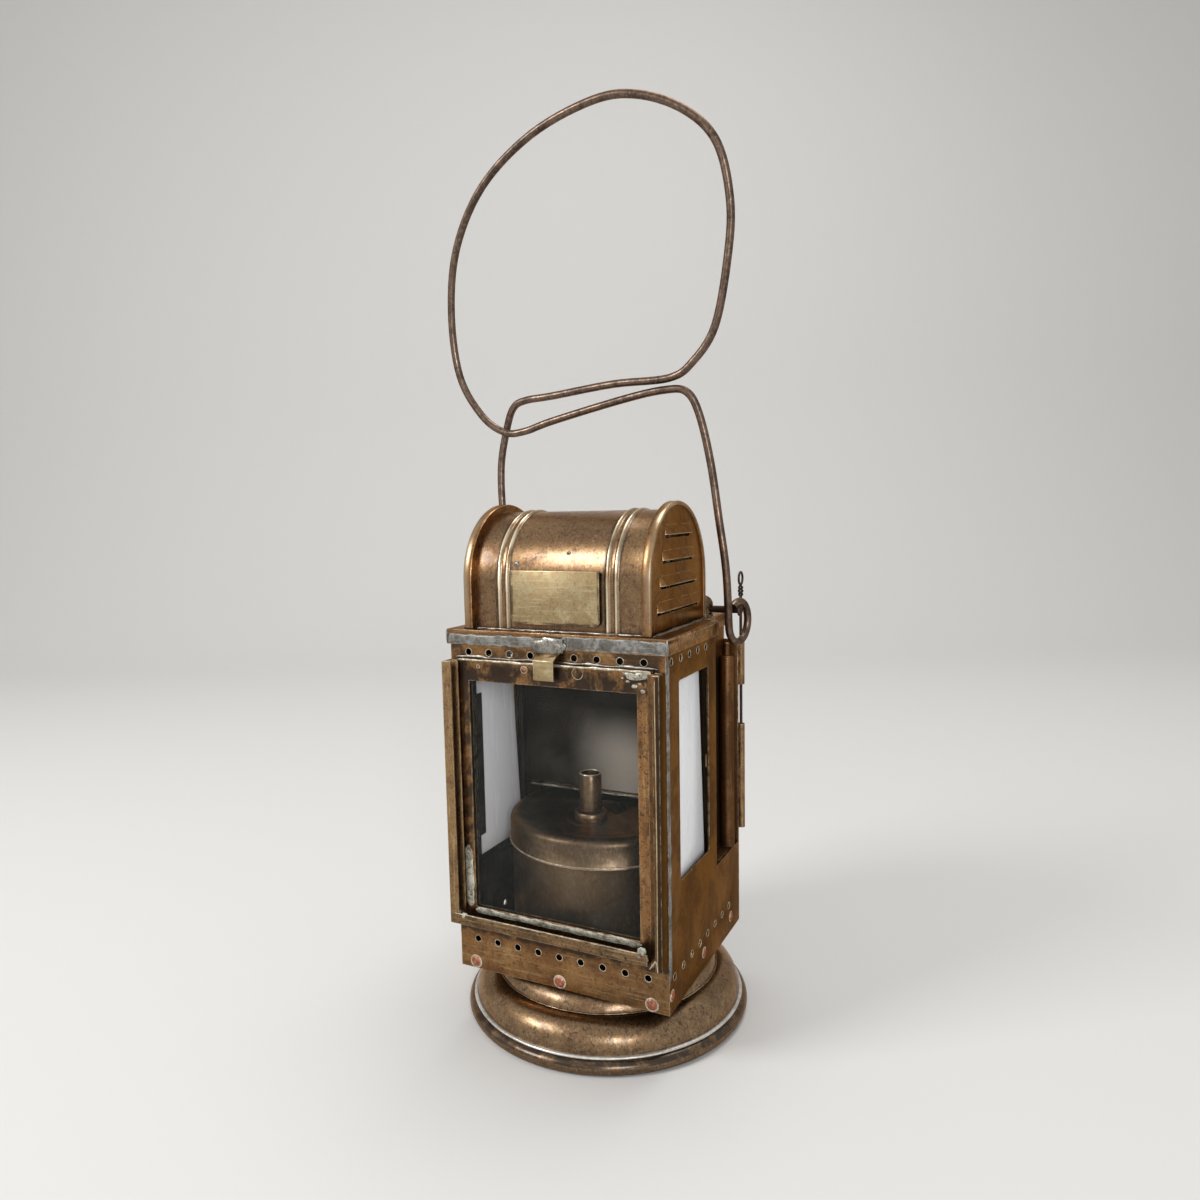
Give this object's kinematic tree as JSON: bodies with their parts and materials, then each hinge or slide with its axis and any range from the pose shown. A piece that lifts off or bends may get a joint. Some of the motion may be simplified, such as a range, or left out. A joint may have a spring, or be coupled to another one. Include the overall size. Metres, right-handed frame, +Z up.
{
  "type": "hand signal lamp",
  "caption": "Brass oil signalling lantern: square cased body on a spun round foot, louvred barrel roof, glazed front, opal side panes, hinged rear door and a looped wire bail.",
  "frame": {"origin": "centre of the foot's underside, on the ground", "axes": "+X to the lamp's right hand side as it is looked at from the front, +Z up, and the lit front faces -Y"},
  "size_m": [0.1473, 0.13, 0.4035],
  "materials": {
    "brass": "aged, brushed and stained brass",
    "dark_brass": "dark bronzed brass",
    "soldered_brass": "brass under grey solder and pale verdigris",
    "plate_brass": "pale satin brass",
    "wire": "dark wire, worn grey where it is held",
    "opal_glass": "opal white glass",
    "clear_glass": "clear window glass",
    "cotton": "woven cotton"
  },
  "bodies": {
    "casing": {"base_foot": "brass", "neck_ring": "brass", "case_floor": "brass", "front_panel": "brass", "side_panel_left": "brass", "side_panel_right": "brass", "recess_wall_left": "brass", "recess_wall_right": "brass", "reflector_wall": "dark_brass", "front_frame": "soldered_brass", "front_glass": "clear_glass", "guide_left": "brass", "guide_right": "brass", "sill": "soldered_brass", "catch_root": "soldered_brass", "pane_rail_left": "brass", "pane_rail_right": "brass", "opal_pane_left": "opal_glass", "opal_pane_right": "opal_glass", "rear_frame": "brass", "rear_column_left": "brass", "rear_column_right": "brass", "top_cover": "soldered_brass", "roof_barrel": "brass", "end_cap_left": "brass", "end_cap_right": "brass", "name_plate": "plate_brass", "pivot_boss_left": "dark_brass", "pivot_boss_right": "dark_brass", "bail_rod": "dark_brass", "oil_tank": "dark_brass", "tank_lid": "dark_brass", "burner_bush": "dark_brass"},
    "bail": {"bail": "wire"},
    "door": {"rear_door": "brass"},
    "hinge_pin": {"hinge_pin": "wire"},
    "catch": {"catch_tongue": "plate_brass"},
    "burner": {"burner_collar": "dark_brass", "wick_tube": "dark_brass"},
    "wick": {"wick": "cotton"}
  },
  "joints": [
    {"name": "bail_swing", "type": "hinge", "parent": "casing", "child": "bail", "pos_m": [0, 0.0244, 0.1824], "axis": [1, 0, 0], "range_deg": [-138, 72]},
    {"name": "door_swing", "type": "hinge", "parent": "casing", "child": "door", "pos_m": [0.0506, 0.04905, 0.096], "axis": [0, 0, -1], "range_deg": [0, 120]},
    {"name": "pin_pull", "type": "slide", "parent": "casing", "child": "hinge_pin", "axis": [0, 0, 1], "range_m": [0, 0.1]},
    {"name": "catch_flex", "type": "hinge", "parent": "casing", "child": "catch", "pos_m": [-0.0006, -0.0489, 0.1708], "axis": [-1, 0, 0], "range_deg": [0, 12], "stiffness_Nm_per_rad": 0.05},
    {"name": "burner_lift", "type": "slide", "parent": "casing", "child": "burner", "axis": [0, 0, 1], "range_m": [0, 0.03]},
    {"name": "wick_raise", "type": "slide", "parent": "burner", "child": "wick", "axis": [0, 0, 1], "range_m": [0, 0.006]}
  ]
}
